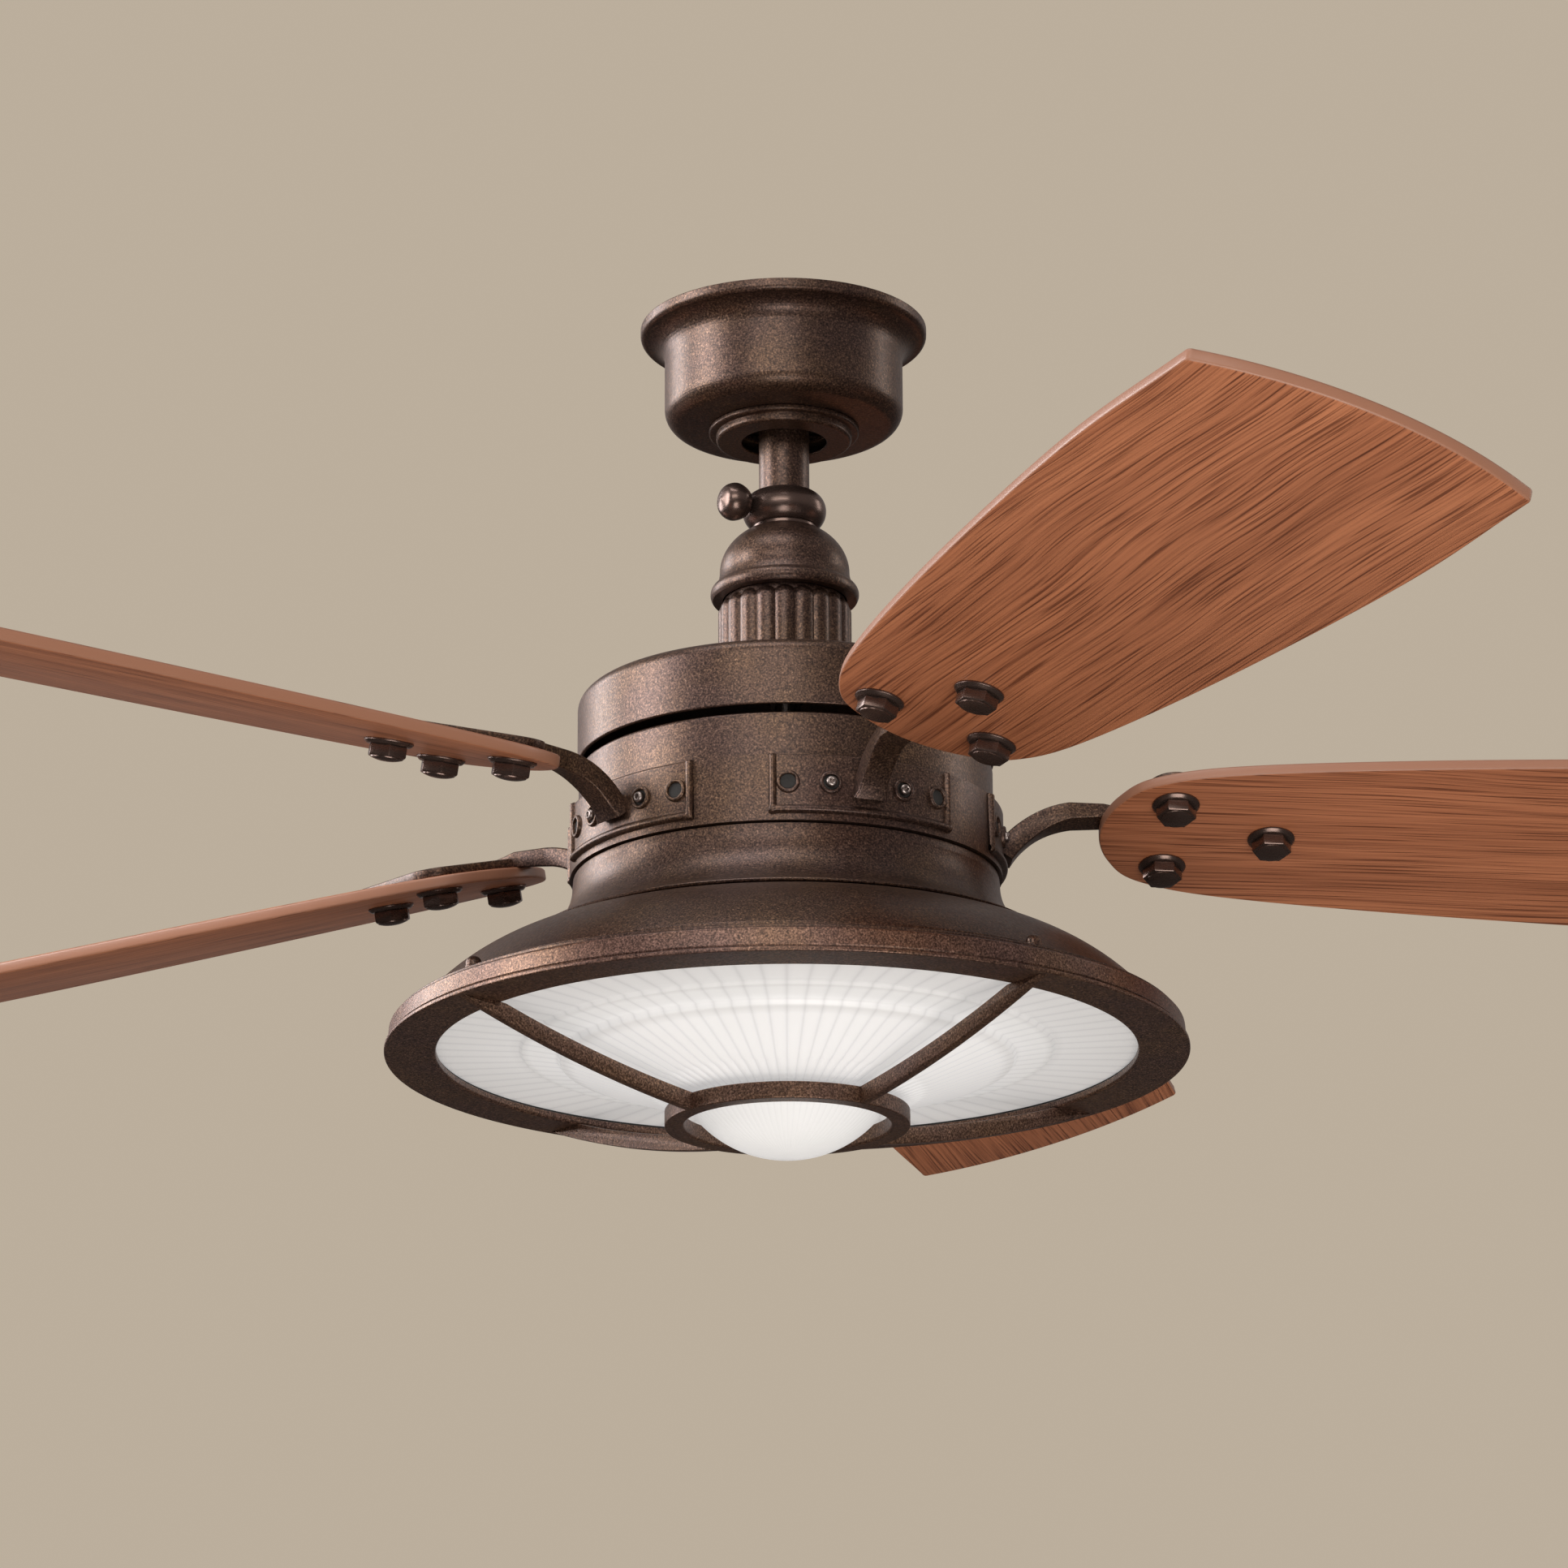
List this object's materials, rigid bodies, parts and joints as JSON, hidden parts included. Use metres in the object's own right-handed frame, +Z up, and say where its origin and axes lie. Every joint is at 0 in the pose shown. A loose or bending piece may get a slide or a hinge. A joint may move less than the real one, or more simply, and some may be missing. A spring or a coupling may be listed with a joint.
{
  "type": "ceiling_fan_light",
  "caption": "Ceiling fan in hammered bronze with walnut blades on curved irons, hung from a ball joint on a short rod, with a caged frosted glass light below",
  "frame": {"origin": "on the ceiling, at the centre of the hanger bracket's upper face", "axes": "+Z up toward the ceiling, +X along the bracket between its two box screws, +Y away from the thumb screw's side"},
  "size_m": [1.2441, 1.2721, 0.4425],
  "materials": {
    "bronze": "hammered, weathered copper over dark brown",
    "bronze_ring": "hammered, lighter copper",
    "bronze_dark": "smoother, dark brown with a mauve cast",
    "zinc_steel": "zinc plated",
    "polished_steel": "bright",
    "walnut": "satin walnut veneer",
    "glass": "frosted, ribbed, lit from behind",
    "rubber": "matt",
    "nylon": "matt",
    "white_plastic": "matt",
    "black_plastic": "matt",
    "iron_core": "laminated",
    "copper": "enamelled copper wire",
    "magnet": "sintered",
    "aluminium": "cast"
  },
  "bodies": {
    "ceiling": {"hanger_bracket": "zinc_steel", "canopy": "bronze", "canopy_screws": "polished_steel", "receiver": "black_plastic"},
    "trim_ring": {"canopy_trim_ring": "bronze"},
    "swivel": {"ball_cup": "rubber"},
    "drop": {"hanger_ball": "nylon", "ball_pin": "polished_steel", "downrod": "bronze", "wire_bundle": "black_plastic", "motor_yoke": "zinc_steel", "yoke_pin": "polished_steel", "cotter_pin": "polished_steel", "collar": "bronze_dark", "yoke_cover": "bronze", "fluted_column": "bronze", "motor_top_shell": "bronze", "shell_screws": "polished_steel", "motor_shaft": "polished_steel", "stator_core": "iron_core", "stator_windings": "copper", "upper_bearing": "polished_steel", "lower_bearing": "polished_steel", "lower_housing": "bronze", "light_pan": "bronze", "pan_screws": "polished_steel", "shaft_nut": "zinc_steel", "lamp_plate": "white_plastic", "glass_diffuser": "glass", "glass_gasket": "rubber", "cage_ring": "bronze_ring", "cage_eye_ring": "bronze_ring", "cage_cap_nuts": "bronze", "lamp_socket_1": "white_plastic", "bulb_1": "glass", "lamp_socket_2": "white_plastic", "bulb_2": "glass", "lamp_socket_3": "white_plastic", "bulb_3": "glass", "cage_rib_1": "bronze_ring", "cage_rib_2": "bronze_ring", "cage_rib_3": "bronze_ring", "cage_rib_4": "bronze_ring"},
    "clamp": {"thumb_screw": "bronze_dark"},
    "rotor": {"rotor_housing": "bronze", "rotor_base": "aluminium", "rotor_magnets": "magnet", "belt_ring": "bronze", "iron_screws": "polished_steel", "blade_bolts": "bronze_dark", "blade_1": "walnut", "blade_2": "walnut", "blade_3": "walnut", "blade_4": "walnut", "blade_5": "walnut", "blade_iron_1": "bronze", "blade_iron_2": "bronze", "blade_iron_3": "bronze", "blade_iron_4": "bronze", "blade_iron_5": "bronze"}
  },
  "joints": [
    {"name": "trim_ring_twist", "type": "hinge", "parent": "ceiling", "child": "trim_ring", "pos_m": [0, 0, -0.0555], "axis": [0, 0, 1], "range_deg": [0, 25]},
    {"name": "sway_x", "type": "hinge", "parent": "ceiling", "child": "swivel", "pos_m": [0, 0, -0.03], "axis": [1, 0, 0], "range_deg": [-10, 10]},
    {"name": "sway_y", "type": "hinge", "parent": "swivel", "child": "drop", "pos_m": [0, 0, -0.03], "axis": [0, 1, 0], "range_deg": [-10, 10]},
    {"name": "thumb_screw_turn", "type": "hinge", "parent": "drop", "child": "clamp", "pos_m": [-0.01832, -0.01145, -0.1005], "axis": [-0.848, -0.5299, 0], "range_deg": [-180, 180]},
    {"name": "rotor_spin", "type": "hinge", "parent": "drop", "child": "rotor", "pos_m": [0, 0, -0.27], "axis": [0, 0, 1], "continuous": true}
  ]
}
